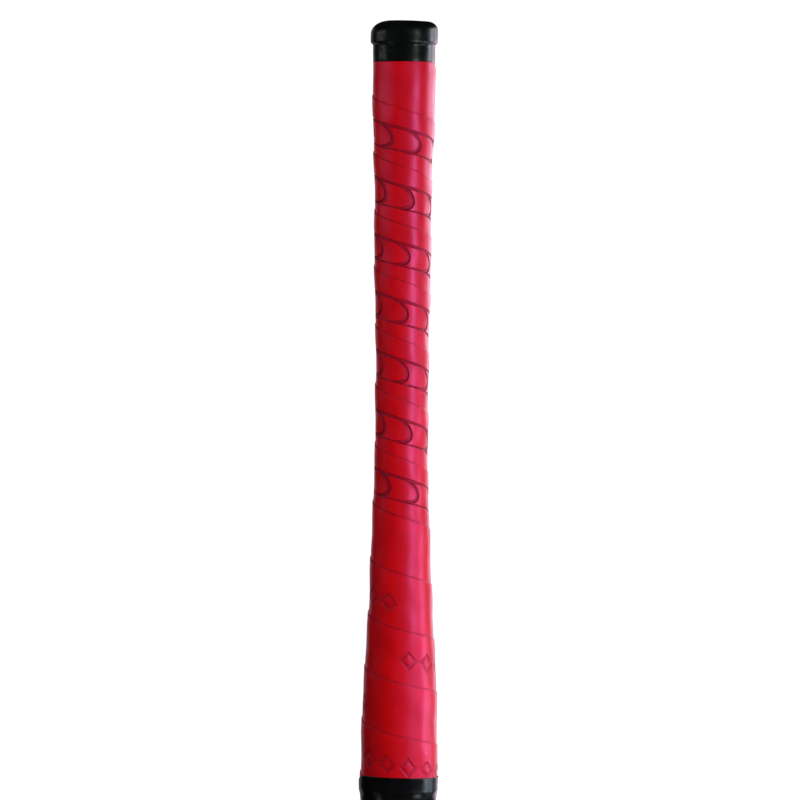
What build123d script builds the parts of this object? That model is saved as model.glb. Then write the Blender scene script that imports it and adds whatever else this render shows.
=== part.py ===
from build123d import *
import os

os.makedirs("parts", exist_ok=True)

# A bat-shaped swing trainer stick, in millimetres. It stands on its tip with its axis on Z and
# the grip end up, and z = 0 is the flat underside of the tip. A "depth" is measured down from
# the top of the butt cap, so depth 0 is the butt and depth LENGTH is the floor.

# ---- Driving dimensions ----------------------------------------------------------------------
LENGTH = 864.0              # overall length, 34 inches
HANDLE_R = 11.1             # outside of the straight handle tube
HANDLE_WALL = 2.0
BARREL_R = 22.25            # outside of the straight barrel, 1.75 inches across
BARREL_WALL = 2.2
FIT = 0.05                  # radial gap between pieces that are glued or slid together

# Depths along the stick
SKIRT_END = 21.0            # lower edge of the butt cap, where the wrap begins
COLLAR_END = 168.0          # lower end of the taper collar
FLARE_START = 205.0         # the handle begins to widen
TAPE_START = 377.2          # upper edge of the finishing tape
WRAP_END = 385.0            # lower end of the grip wrap, under the finishing tape
JOINT = 391.0               # shoulder where the handle meets the barrel
BARREL_STRAIGHT = 512.0     # the barrel's taper ends here

# Butt cap and plug
CAP_RIM_R = 16.8
CAP_SKIRT_R = 15.6
CAP_BORE_R = 13.5
CAP_TOP = 3.2               # rubber thickness over the plug
CAP_CREASE = 12.2           # depth of the crease between the rim and the skirt
CAP_DOME = 0.4              # how far the top crowns
CAP_CORNER = 3.2
CAP_CREASE_CORNER = 1.0
PLUG_FLANGE = 2.0
PLUG_LENGTH = 26.0
PLUG_WALL = 2.4
PLUG_CHAMFER = 0.8

# Grip layers
COLLAR_EDGE = 0.3           # thickness of the taper collar's lower edge
UNDERLAY = 0.3
TAPE_THICK = 0.3
TAPE_WIDTH = 19.0

# Joint between the handle and the barrel
SPIGOT_R = 14.5
SPIGOT_LENGTH = 58.0
SLEEVE_LIP = 1.2
BARREL_TOP = JOINT + SLEEVE_LIP
SPIGOT_END = JOINT + SPIGOT_LENGTH

# Tip, as heights above the floor
BUMPER_RIM_R = 24.2
BUMPER_SKIRT_R = 23.2
BUMPER_FLOOR = 3.5          # rubber thickness under the end plug
BUMPER_CREASE = 13.0
BUMPER_TOP = 21.0
BUMPER_CORNER = 2.2
BUMPER_RECESS_R = 14.0
BUMPER_RECESS_DEPTH = 0.8
END_BOSS_R = 17.0
END_FLANGE_Z = 9.0
BARREL_BOTTOM = 14.0
BARREL_SEAT_R = 22.0        # the barrel's lower end is turned down a little for the bumper
BARREL_SEAT_TOP = 22.0
END_PLUG_TOP = 46.0
SEAL_Z = 40.0
SEAL_SECTION = 1.3          # radius of the seal's round section
SCREW_Z = 31.0
SCREW_ANGLES = (30, 150, 270)
SCREW_R = 2.0               # M4
SCREW_HEAD_R = 3.9
SCREW_SUNK = 0.4            # how far the flat heads sit below the barrel's surface
SCREW_LENGTH = 10.0
SCREW_SOCKET_FLATS = 2.5
SCREW_SOCKET_DEPTH = 1.4

# Weight stack on an M10 bolt, as heights above the floor
BOLT_R = 5.0
BOLT_BORE_R = 5.25
BOLT_FLATS = 16.0
BOLT_HEAD_Z = 4.0           # underside of the head
BOLT_HEAD_HEIGHT = 6.4
BOLT_LENGTH = 110.0
BOLT_POINT = 1.0
NUT_HEIGHT = 10.0
WASHER_R = 10.0
WASHER_THICK = 2.0
SPRING_WASHER_R = 8.8
SPRING_WASHER_THICK = 2.5
SPRING_WASHER_GAP = 1.2
DISC_R = 18.6
DISC_THICK = 14.0
DISC_CHAMFER = 1.0
DISC_COUNT = 4
RING_SECTION = 1.5          # radius of an anti-rattle ring's round section
FOAM_LENGTH = 45.0
FOAM_GAP = 5.0
FOAM_CHAMFER = 2.0

# Outlines, as (depth, radius) stations of a smooth line
COLLAR_LINE = (
    (SKIRT_END, 13.4), (60, 12.75), (110, 12.05), (150, 11.6), (COLLAR_END, HANDLE_R + COLLAR_EDGE),
)
FLARE_LINE = ((FLARE_START, HANDLE_R), (255, 12.3), (300, 14.3), (340, 16.3), (WRAP_END, 17.65))
WRAP_LINE = (
    (SKIRT_END, 15.6), (44, 15.5), (70, 14.65), (120, 14.1), (170, 13.25), (205, 13.2),
    (255, 14.4), (300, 16.45), (340, 18.5), (WRAP_END, 19.45),
)
BARREL_LINE = (
    (BARREL_TOP, 17.9), (420, 19.0), (SPIGOT_END, 20.3), (480, 21.55), (BARREL_STRAIGHT, BARREL_R),
)
# Inside of the finishing tape: over the wrap, down the wrap's end and on to the barrel
TAPE_LINE = (
    (TAPE_START, 19.5), (WRAP_END, 19.5), (WRAP_END + 2.4, 19.0), (394, 18.12),
    (TAPE_START + TAPE_WIDTH, 18.15),
)

DOWN = (0, -1)              # tangent of an outline that runs parallel to the axis

STACK_BOTTOM = END_PLUG_TOP + WASHER_THICK
STACK_TOP = STACK_BOTTOM + DISC_COUNT * DISC_THICK
NUT_BOTTOM = STACK_TOP + WASHER_THICK + SPRING_WASHER_THICK
BOLT_SEAT = BOLT_HEAD_Z + BOLT_HEAD_HEIGHT
BOLT_TOP = BOLT_SEAT + BOLT_LENGTH
BARREL_BORE = BARREL_R - BARREL_WALL


# ---- Helpers ---------------------------------------------------------------------------------
def at(radius, depth):
    """A corner of a half section, from its radius and its depth below the butt."""
    return (radius, LENGTH - depth)


def smooth(line, offset=0.0, tangents=()):
    """A smooth edge through an outline's stations, moved away from the axis by offset."""
    return Spline(*[at(radius + offset, depth) for depth, radius in line], tangents=tangents)


def grip_core(offset):
    """The outside of the collar and handle under the grip, moved outwards by offset."""
    step = COLLAR_END + offset
    edge_r = HANDLE_R + COLLAR_EDGE + offset
    smooth(COLLAR_LINE, offset)
    if offset > 0:
        Line(at(edge_r, COLLAR_END), at(edge_r, step))
    Polyline(at(edge_r, step), at(HANDLE_R + offset, step), at(HANDLE_R + offset, FLARE_START))
    flare(offset)


def flare(offset):
    """The throat of the handle, where it widens towards the barrel."""
    smooth(FLARE_LINE, offset, tangents=(DOWN, (0.04, -1)))


def radial_plane(angle, radius, height):
    """A plane on the stick's side whose normal points straight out from the axis."""
    outwards = Vector(1, 0, 0).rotate(Axis.Z, angle)
    return Plane(origin=outwards * radius + Vector(0, 0, height), z_dir=outwards)


def round_edges(piece):
    """All the circular edges of a turned piece, from the lowest to the highest."""
    return piece.edges().filter_by(GeomType.CIRCLE).sort_by(Axis.Z)


def rim_corners(section):
    """The corners of a half section that lie furthest from the axis, the lowest first."""
    return section.vertices().group_by(Axis.X)[-1].sort_by(Axis.Y)


def save(piece, name):
    """Label one finished piece and write it as its own STEP file."""
    piece.label = name
    export_step(piece, f"parts/{name}.step")


# ---- Butt: cap, plug and taper collar --------------------------------------------------------
with BuildPart() as butt_cap:
    with BuildSketch(Plane.XZ) as cap_section:
        with BuildLine():
            Polyline(
                at(0, 0), at(0, CAP_TOP), at(CAP_BORE_R, CAP_TOP), at(CAP_BORE_R, SKIRT_END),
                at(CAP_SKIRT_R, SKIRT_END), at(CAP_SKIRT_R, CAP_CREASE), at(CAP_RIM_R, CAP_CREASE),
                at(CAP_RIM_R, CAP_DOME), close=True,
            )
        make_face()
        fillet(rim_corners(cap_section)[0], CAP_CREASE_CORNER)
        fillet(rim_corners(cap_section)[-1], CAP_CORNER)
    revolve(axis=Axis.Z)

with BuildPart() as butt_plug:
    spigot_r = HANDLE_R - HANDLE_WALL - FIT
    with BuildSketch(Plane.XZ):
        with BuildLine():
            Polyline(
                at(0, CAP_TOP), at(HANDLE_R, CAP_TOP), at(HANDLE_R, CAP_TOP + PLUG_FLANGE),
                at(spigot_r, CAP_TOP + PLUG_FLANGE), at(spigot_r, CAP_TOP + PLUG_LENGTH),
                at(spigot_r - PLUG_WALL, CAP_TOP + PLUG_LENGTH),
                at(spigot_r - PLUG_WALL, CAP_TOP + 2 * PLUG_FLANGE),
                at(0, CAP_TOP + 2 * PLUG_FLANGE), close=True,
            )
        make_face()
    revolve(axis=Axis.Z)
    chamfer(round_edges(butt_plug).group_by(Axis.Z)[0].sort_by(SortBy.RADIUS)[-1], PLUG_CHAMFER)

with BuildPart() as taper_collar:
    with BuildSketch(Plane.XZ):
        with BuildLine():
            smooth(COLLAR_LINE)
            Polyline(
                at(HANDLE_R + COLLAR_EDGE, COLLAR_END), at(HANDLE_R + FIT, COLLAR_END),
                at(HANDLE_R + FIT, CAP_TOP + FIT), at(COLLAR_LINE[0][1], CAP_TOP + FIT),
                at(COLLAR_LINE[0][1], SKIRT_END),
            )
        make_face()
    revolve(axis=Axis.Z)

# ---- Handle tube: straight under the hands, flared at the throat, with a spigot for the joint --
with BuildPart() as handle_tube:
    tube_top = CAP_TOP + PLUG_FLANGE
    shoulder_r = BARREL_LINE[0][1]
    bore_end = JOINT - HANDLE_WALL
    with BuildSketch(Plane.XZ):
        with BuildLine():
            flare(0)
            Polyline(
                at(FLARE_LINE[-1][1], WRAP_END), at(shoulder_r, JOINT), at(SPIGOT_R, JOINT),
                at(SPIGOT_R, SPIGOT_END), at(SPIGOT_R - HANDLE_WALL, SPIGOT_END),
                at(SPIGOT_R - HANDLE_WALL, bore_end),
                at(FLARE_LINE[-1][1] - HANDLE_WALL, bore_end),
                at(FLARE_LINE[-1][1] - HANDLE_WALL, WRAP_END),
            )
            flare(-HANDLE_WALL)
            Polyline(
                at(HANDLE_R - HANDLE_WALL, FLARE_START), at(HANDLE_R - HANDLE_WALL, tube_top),
                at(HANDLE_R, tube_top), at(HANDLE_R, FLARE_START),
            )
        make_face()
    revolve(axis=Axis.Z)

# ---- Grip: underlay, wrap and finishing tape -------------------------------------------------
with BuildPart() as grip_underlay:
    outer = FIT + UNDERLAY
    with BuildSketch(Plane.XZ):
        with BuildLine():
            grip_core(FIT)
            grip_core(outer)
            Line(at(COLLAR_LINE[0][1] + FIT, SKIRT_END), at(COLLAR_LINE[0][1] + outer, SKIRT_END))
            Line(at(FLARE_LINE[-1][1] + FIT, WRAP_END), at(FLARE_LINE[-1][1] + outer, WRAP_END))
        make_face()
    revolve(axis=Axis.Z)

with BuildPart() as grip_wrap:
    inner = UNDERLAY + 2 * FIT
    with BuildSketch(Plane.XZ):
        with BuildLine():
            grip_core(inner)
            smooth(WRAP_LINE)
            Line(at(COLLAR_LINE[0][1] + inner, SKIRT_END), at(WRAP_LINE[0][1], SKIRT_END))
            Line(at(FLARE_LINE[-1][1] + inner, WRAP_END), at(WRAP_LINE[-1][1], WRAP_END))
        make_face()
    revolve(axis=Axis.Z)

with BuildPart() as finishing_tape:
    inside = [at(radius, depth) for depth, radius in TAPE_LINE]
    outside = [at(radius + TAPE_THICK, depth) for depth, radius in reversed(TAPE_LINE)]
    with BuildSketch(Plane.XZ):
        with BuildLine():
            Polyline(*inside, *outside, close=True)
        make_face()
    revolve(axis=Axis.Z)

# ---- Joint and barrel ------------------------------------------------------------------------
with BuildPart() as isolation_sleeve:
    sleeve_side = [at(radius - BARREL_WALL - FIT, depth) for depth, radius in BARREL_LINE[:3]]
    with BuildSketch(Plane.XZ):
        with BuildLine():
            Polyline(
                at(SPIGOT_R + FIT, JOINT + FIT), at(BARREL_LINE[0][1], JOINT + FIT),
                at(BARREL_LINE[0][1], BARREL_TOP - FIT),
                at(BARREL_LINE[0][1] - BARREL_WALL - FIT, BARREL_TOP - FIT), *sleeve_side,
                at(SPIGOT_R + FIT, SPIGOT_END), close=True,
            )
        make_face()
    revolve(axis=Axis.Z)

with BuildPart() as barrel_tube:
    floor_depth = LENGTH - BARREL_BOTTOM
    with BuildSketch(Plane.XZ):
        with BuildLine():
            smooth(BARREL_LINE, 0, tangents=((0.04, -1), DOWN))
            smooth(BARREL_LINE, -BARREL_WALL, tangents=((0.04, -1), DOWN))
            Line(at(BARREL_LINE[0][1], BARREL_TOP), at(BARREL_LINE[0][1] - BARREL_WALL, BARREL_TOP))
            Polyline(
                at(BARREL_R, BARREL_STRAIGHT), at(BARREL_R, LENGTH - BARREL_SEAT_TOP),
                at(BARREL_SEAT_R, LENGTH - BARREL_SEAT_TOP), at(BARREL_SEAT_R, floor_depth),
                at(BARREL_BORE, floor_depth), at(BARREL_BORE, BARREL_STRAIGHT),
            )
        make_face()
    revolve(axis=Axis.Z)
    for angle in SCREW_ANGLES:
        with Locations(radial_plane(angle, BARREL_R, SCREW_Z)):
            CounterSinkHole(
                radius=SCREW_R + 2 * FIT, counter_sink_radius=SCREW_HEAD_R + SCREW_SUNK + FIT,
                depth=2 * BARREL_WALL, counter_sink_angle=90,
            )

# ---- Tip: end plug, its seal and screws, and the rubber bumper -------------------------------
with BuildPart() as end_plug:
    body_r = BARREL_BORE - FIT
    groove_r = BARREL_BORE - 2 * SEAL_SECTION
    with BuildSketch(Plane.XZ):
        with BuildLine():
            Polyline(
                (BOLT_BORE_R, BUMPER_FLOOR), (END_BOSS_R, BUMPER_FLOOR), (END_BOSS_R, END_FLANGE_Z),
                (BARREL_SEAT_R, END_FLANGE_Z), (BARREL_SEAT_R, BARREL_BOTTOM - FIT),
                (body_r, BARREL_BOTTOM - FIT), (body_r, SEAL_Z - SEAL_SECTION),
                (groove_r, SEAL_Z - SEAL_SECTION), (groove_r, SEAL_Z + SEAL_SECTION),
                (body_r, SEAL_Z + SEAL_SECTION), (body_r, END_PLUG_TOP),
                (BOLT_BORE_R, END_PLUG_TOP), close=True,
            )
        make_face()
    revolve(axis=Axis.Z)
    with BuildSketch(Plane.XY.offset(BUMPER_FLOOR)):
        RegularPolygon(BOLT_FLATS / 2 + FIT, 6, major_radius=False)
    extrude(amount=BOLT_SEAT - BUMPER_FLOOR, mode=Mode.SUBTRACT)
    for angle in SCREW_ANGLES:
        with Locations(radial_plane(angle, BARREL_R, SCREW_Z)):
            Hole(radius=SCREW_R + FIT, depth=SCREW_SUNK + SCREW_LENGTH + BOLT_POINT)

with BuildPart() as end_seal:
    with Locations((0, 0, SEAL_Z)):
        Torus(BARREL_BORE - SEAL_SECTION, SEAL_SECTION - FIT)

with BuildPart() as plug_screws:
    for angle in SCREW_ANGLES:
        head_plane = radial_plane(angle, BARREL_R - SCREW_SUNK, SCREW_Z)
        with Locations(head_plane):
            Cylinder(SCREW_R, SCREW_LENGTH, align=(Align.CENTER, Align.CENTER, Align.MAX))
            Cone(
                SCREW_R, SCREW_HEAD_R, SCREW_HEAD_R - SCREW_R,
                align=(Align.CENTER, Align.CENTER, Align.MAX),
            )
        with BuildSketch(head_plane):
            RegularPolygon(SCREW_SOCKET_FLATS / 2, 6, major_radius=False)
        extrude(amount=-SCREW_SOCKET_DEPTH, mode=Mode.SUBTRACT)

with BuildPart() as tip_bumper:
    with BuildSketch(Plane.XZ) as bumper_section:
        with BuildLine():
            Polyline(
                (0, BUMPER_RECESS_DEPTH), (BUMPER_RECESS_R, BUMPER_RECESS_DEPTH),
                (BUMPER_RECESS_R, 0), (BUMPER_RIM_R, 0), (BUMPER_RIM_R, BUMPER_CREASE),
                (BUMPER_SKIRT_R, BUMPER_CREASE), (BUMPER_SKIRT_R, BUMPER_TOP),
                (BARREL_SEAT_R + FIT, BUMPER_TOP), (BARREL_SEAT_R + FIT, END_FLANGE_Z - FIT),
                (END_BOSS_R + FIT, END_FLANGE_Z - FIT), (END_BOSS_R + FIT, BUMPER_FLOOR - FIT),
                (0, BUMPER_FLOOR - FIT), close=True,
            )
        make_face()
        fillet(rim_corners(bumper_section)[-1], CAP_CREASE_CORNER / 2)
        fillet(rim_corners(bumper_section)[0], BUMPER_CORNER)
    revolve(axis=Axis.Z)

# ---- Weight stack inside the barrel ----------------------------------------------------------
with BuildPart() as weight_bolt:
    with BuildSketch(Plane.XY.offset(BOLT_HEAD_Z)):
        RegularPolygon(BOLT_FLATS / 2, 6, major_radius=False)
    extrude(amount=BOLT_HEAD_HEIGHT)
    with BuildSketch(Plane.XY.offset(BOLT_SEAT)):
        Circle(BOLT_R)
    extrude(amount=BOLT_LENGTH)
    chamfer(round_edges(weight_bolt)[-1], BOLT_POINT)

with BuildPart() as flat_washers:
    for washer_z in (END_PLUG_TOP, STACK_TOP):
        with BuildSketch(Plane.XY.offset(washer_z)):
            Circle(WASHER_R)
            Circle(BOLT_BORE_R, mode=Mode.SUBTRACT)
        extrude(amount=WASHER_THICK)

for number in range(DISC_COUNT):
    disc_z = STACK_BOTTOM + number * DISC_THICK
    middle_z = disc_z + DISC_THICK / 2
    groove_r = BARREL_BORE - 2 * RING_SECTION
    with BuildPart() as weight_disc:
        with BuildSketch(Plane.XZ):
            with BuildLine():
                Polyline(
                    (BOLT_BORE_R, disc_z), (DISC_R, disc_z), (DISC_R, middle_z - RING_SECTION),
                    (groove_r, middle_z - RING_SECTION), (groove_r, middle_z + RING_SECTION),
                    (DISC_R, middle_z + RING_SECTION), (DISC_R, disc_z + DISC_THICK),
                    (BOLT_BORE_R, disc_z + DISC_THICK), close=True,
                )
            make_face()
        revolve(axis=Axis.Z)
        face_edges = round_edges(weight_disc).filter_by(lambda edge: edge.radius > groove_r + FIT)
        chamfer([face_edges[0], face_edges[-1]], DISC_CHAMFER)
    save(weight_disc.part, f"weight_disc_{number + 1}")
    with BuildPart() as rattle_ring:
        with Locations((0, 0, middle_z)):
            Torus(BARREL_BORE - RING_SECTION, RING_SECTION - FIT)
    save(rattle_ring.part, f"rattle_ring_{number + 1}")

with BuildPart() as spring_washer:
    with BuildSketch(Plane.XY.offset(STACK_TOP + WASHER_THICK)):
        Circle(SPRING_WASHER_R)
        Circle(BOLT_BORE_R, mode=Mode.SUBTRACT)
        with Locations((SPRING_WASHER_R, 0)):
            Rectangle(SPRING_WASHER_R, SPRING_WASHER_GAP, mode=Mode.SUBTRACT)
    extrude(amount=SPRING_WASHER_THICK)

with BuildPart() as stack_nut:
    with BuildSketch(Plane.XY.offset(NUT_BOTTOM)):
        RegularPolygon(BOLT_FLATS / 2, 6, major_radius=False)
        Circle(BOLT_R + FIT, mode=Mode.SUBTRACT)
    extrude(amount=NUT_HEIGHT)

with BuildPart() as foam_plug:
    with BuildSketch(Plane.XY.offset(BOLT_TOP + FOAM_GAP)):
        Circle(BARREL_BORE - FIT)
    extrude(amount=FOAM_LENGTH)
    chamfer(round_edges(foam_plug), FOAM_CHAMFER)

# ---- Finished pieces -------------------------------------------------------------------------
save(butt_cap.part, "butt_cap")
save(butt_plug.part, "butt_plug")
save(taper_collar.part, "taper_collar")
save(handle_tube.part, "handle_tube")
save(grip_underlay.part, "grip_underlay")
save(grip_wrap.part, "grip_wrap")
save(finishing_tape.part, "finishing_tape")
save(isolation_sleeve.part, "isolation_sleeve")
save(barrel_tube.part, "barrel_tube")
save(end_plug.part, "end_plug")
save(end_seal.part, "end_seal")
save(plug_screws.part, "plug_screws")
save(tip_bumper.part, "tip_bumper")
save(weight_bolt.part, "weight_bolt")
save(flat_washers.part, "flat_washers")
save(spring_washer.part, "spring_washer")
save(stack_nut.part, "stack_nut")
save(foam_plug.part, "foam_plug")
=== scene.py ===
"""Looks for the swing trainer stick: a red spiral-wrapped grip between a rubber butt cap and a
black barrel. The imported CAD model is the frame, in metres, with the stick upright on its tip."""

import math

import bpy
import numpy as np
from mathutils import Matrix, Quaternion, Vector


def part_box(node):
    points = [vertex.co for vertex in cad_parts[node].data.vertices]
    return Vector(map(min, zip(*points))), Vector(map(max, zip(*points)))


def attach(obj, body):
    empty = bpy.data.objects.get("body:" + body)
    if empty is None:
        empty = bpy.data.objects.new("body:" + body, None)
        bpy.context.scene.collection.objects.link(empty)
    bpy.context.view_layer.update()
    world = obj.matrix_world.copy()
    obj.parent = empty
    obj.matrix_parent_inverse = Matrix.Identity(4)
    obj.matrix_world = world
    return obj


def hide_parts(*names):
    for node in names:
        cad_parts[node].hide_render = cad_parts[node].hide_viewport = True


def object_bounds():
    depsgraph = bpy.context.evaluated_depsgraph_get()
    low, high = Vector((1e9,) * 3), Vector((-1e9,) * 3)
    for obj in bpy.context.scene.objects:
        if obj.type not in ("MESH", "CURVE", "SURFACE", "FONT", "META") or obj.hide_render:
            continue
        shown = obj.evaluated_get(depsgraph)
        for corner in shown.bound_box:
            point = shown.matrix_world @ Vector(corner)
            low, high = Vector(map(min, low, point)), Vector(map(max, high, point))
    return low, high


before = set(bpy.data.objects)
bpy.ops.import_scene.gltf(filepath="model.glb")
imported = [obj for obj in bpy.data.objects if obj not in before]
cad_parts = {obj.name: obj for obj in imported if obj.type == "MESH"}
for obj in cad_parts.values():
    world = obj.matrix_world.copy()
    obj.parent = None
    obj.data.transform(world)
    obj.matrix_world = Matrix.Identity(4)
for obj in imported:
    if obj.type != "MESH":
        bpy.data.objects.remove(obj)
CAD_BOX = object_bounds()

MM = 0.001
TURN = 2 * math.pi
BODY = "root"
AXIS_TOP = CAD_BOX[1].z                 # top of the butt cap

# ---- The grip's winding ----------------------------------------------------------------------
WRAP_LOW, WRAP_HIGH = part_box("grip_wrap")
# Depth of each lap below the butt, in millimetres, down the stick's left side. It is wound by
# hand, so the turns are uneven, and they close up a little towards the barrel.
LAP_DEPTHS = (38.6, 66.5, 95.9, 123.4, 152.7, 182.5, 211.9, 241.2, 269.2, 296.7, 323.6, 349.7, 376.8)
LAP_BEARING = math.radians(-80)         # where round the stick those depths are measured
FRONT_SAG = 1.1 * MM                    # how far, roughly, the lower turns hang down at the front,
SAG_START, SAG_GROWTH = 6.5, 3          # beginning at this turn and fully after so many more
OVERLAP = 3.6 * MM                      # how far each turn lies over the one before
THICKNESS = 2 * MM                      # of the tape, roughly, for distances along it
EDGE = 0.42 * MM                        # thickness of the tape's thinned edges
EDGE_ROUNDING = 0.3 * MM                # width of the rounding along its upper edge
CLEARANCE = 0.03 * MM                   # between the tape and what it lies on
DRAPE = 2.6 * MM                        # length over which a turn comes down off the edge under it
SWELL = 15 * MM                         # length over which its outside evens out again
CUT_GAP = 0.02 * MM                     # least spacing of the mesh rows at a square-cut end
LEAD_IN = 1.02                          # turns of tape above where its edge leaves the cap
LEAD_OUT = 0.2                          # turns past the last lap in which its end is looked for
LEAST_STRIP = 0.3 * MM                  # the ribbon ends where less than this is left of it
LAP_SHADE = 0.6 * MM                    # width of the painted shade on each side of a lap's edge
FAINT_LAPS = AXIS_TOP - 60 * MM         # the painted shade along the laps above this height is faint,
PLAIN_LAPS = AXIS_TOP - 240 * MM        # and along those below this one it is strongest
# The tape's mesh rows, from its upper edge down. Their distances are in millimetres.
ROWS_BELOW_LAP = (0, 0.06, 0.18, 0.4, 0.9, 1.8, 2.7, 3.6, 4.4, 5.4, 6.4, 7.6)
ROWS_BETWEEN_RAILS = (0.16, 0.26, 0.375, 0.5, 0.625, 0.74, 0.84)    # shares of the way down
ROWS_ABOVE_NEXT_LAP = (4.2, 2.5, 1.2, 0.6, 0.25)
ROWS_ABOVE_LOWER_EDGE = (3.3, 2, 1, 0.3, 0)
ROWS_INSIDE = (0.995, 0.9, 0.7, 0.3, 0.12, 0.005)       # shares of the tape's width, back up

# ---- What is pressed into the grip -----------------------------------------------------------
# A plain border of scallops between two rails, and lower down a row of lozenges. Each line is a
# shallow channel with steep walls. Distances across a channel are in halves of its width.
GROOVE_HALF = 0.85 * MM
RAIL_HALF = 0.6 * MM
RAIL_LEAN = 0.85 * MM                   # the rails slope less than the laps at the front
GROOVE_DEPTH = 0.45 * MM
CHANNEL_FLOOR = 0.62                    # where a channel's floor meets its walls
CHANNEL_SHADE = 1.28                    # where the painted shade along its edge ends
OFF_CHANNEL = 9                         # a distance outside of every channel
GROOVE_ROWS = np.array(                 # where the mesh follows a channel
    [-CHANNEL_SHADE, -1, -CHANNEL_FLOOR, 0, CHANNEL_FLOOR, 1, CHANNEL_SHADE])
RAIL_TOP, RAIL_BOTTOM = 0.355, 0.765    # the two rails, as fractions of a turn's height
GUIDE_GAP = 1.05 * MM                   # least distance of the mesh's guide lines from their middle
BAND_START, BAND_END = -0.1, 6.6        # turns between which the rails and scallops run
BAND_FADE = 0.08                        # turns over which they get shallower at both ends
PATTERN_GAP = 0.02                      # turns between a pattern and where the mesh changes
MESH_CHANGE = 0.4                       # turns from the band to where the mesh ignores scallops
SCALLOPS_PER_TURN = 6
SCALLOP_PITCH = 15 * MM                 # nominal distance between two scallops
SCALLOP_REACH = 9.5 * MM                # how far a scallop's nose stands out from its ends
SCALLOP_BEARING = -50                   # degrees, of one scallop in each turn,
SCALLOP_DRIFT = 2.9                     # which grows by this times the square of the turns
DRIFT_CENTRE = 3.25                     # from this one
COLUMNS_BETWEEN = 12                    # mesh columns between two scallops' channels
STEEPEST = 2.6                          # limit on how much wider a slanted channel's mesh gets
LOZENGE_PITCH = 11.2 * MM
LOZENGE_HALF_LENGTH = 4.4 * MM
LOZENGE_HALF_HEIGHT = 4.9 * MM
LOZENGE_LINE = 0.82                     # where its channel runs, as a share of those halves
LOZENGE_GROOVE = 0.9                    # a lozenge's channel, as a share of the scallops' width
LOZENGE_DEPTH = 0.6                     # and of their depth
LOZENGE_RUNS = ((7.55, 8.29), (9.21, 10.12), (11.03, 11.9))   # turns that each run covers


# ---- Small helpers ---------------------------------------------------------------------------
def smoothstep(x):
    """0 below 0, 1 above 1, and a smooth rise between."""
    x = np.clip(x, 0.0, 1.0)
    return x * x * (3 - 2 * x)


def side_of(node):
    """Height and radius tables for the outer side of a turned node."""
    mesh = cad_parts[node].data
    count = len(mesh.polygons)
    points = np.empty(len(mesh.vertices) * 3)
    mesh.vertices.foreach_get("co", points)
    points = points.reshape(-1, 3)
    normals = np.empty(count * 3)
    mesh.polygons.foreach_get("normal", normals)
    normals = normals.reshape(-1, 3)
    corners = np.array([face.vertices[:3] for face in mesh.polygons])
    centres = points[corners].mean(axis=1)
    facing = (normals[:, :2] * centres[:, :2]).sum(axis=1) / np.hypot(*centres[:, :2].T)
    used = np.unique(corners[facing > 0.5])
    heights, first = np.unique(points[used, 2].round(5), return_index=True)
    return heights, np.hypot(*points[used][first, :2].T)


def smoothed(heights, radii, blur=9 * MM, step=0.5 * MM):
    """The same outline on a fine even table, with the corners between its rings rounded off."""
    reach = int(blur / step)
    fine = np.arange(heights[0] - blur, heights[-1] + blur + step, step)
    wide = np.interp(fine, heights, radii)
    window = np.hanning(2 * reach + 1)
    soft = np.convolve(wide, window / window.sum(), mode="valid")
    return fine[reach:reach + len(soft)], soft


def grid_faces(rows, columns, wrap_rows=False, wrap_columns=False):
    """Quads over a grid of vertices numbered row by row."""
    row = np.arange(rows if wrap_rows else rows - 1)
    column = np.arange(columns if wrap_columns else columns - 1)
    row, column = np.meshgrid(row, column, indexing="ij")
    next_row, next_column = (row + 1) % rows, (column + 1) % columns
    quads = [row * columns + column, row * columns + next_column,
             next_row * columns + next_column, next_row * columns + column]
    return np.stack(quads, axis=-1).reshape(-1, 4)


def add_mesh(name, points, faces, material, extra_faces=()):
    """A smooth-shaded object from an array of points, an array of quads and any other faces."""
    mesh = bpy.data.meshes.new(name)
    mesh.from_pydata(points.reshape(-1, 3).tolist(), [], [*faces.tolist(), *extra_faces])
    mesh.materials.append(material)
    mesh.polygons.foreach_set("use_smooth", [True] * len(mesh.polygons))
    piece = bpy.data.objects.new(name, mesh)
    bpy.context.scene.collection.objects.link(piece)
    return piece


def add_attribute(piece, name, values):
    """A number per vertex that a material can read."""
    layer = piece.data.attributes.new(name, "FLOAT", "POINT")
    layer.data.foreach_set("value", np.ascontiguousarray(values, dtype=np.float32).ravel())


def at_bearing(angle, radius, height):
    """Points on the stick: bearing 0 is the front, and it grows towards the right."""
    return np.stack([radius * np.sin(angle), -radius * np.cos(angle), height], axis=-1)


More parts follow.
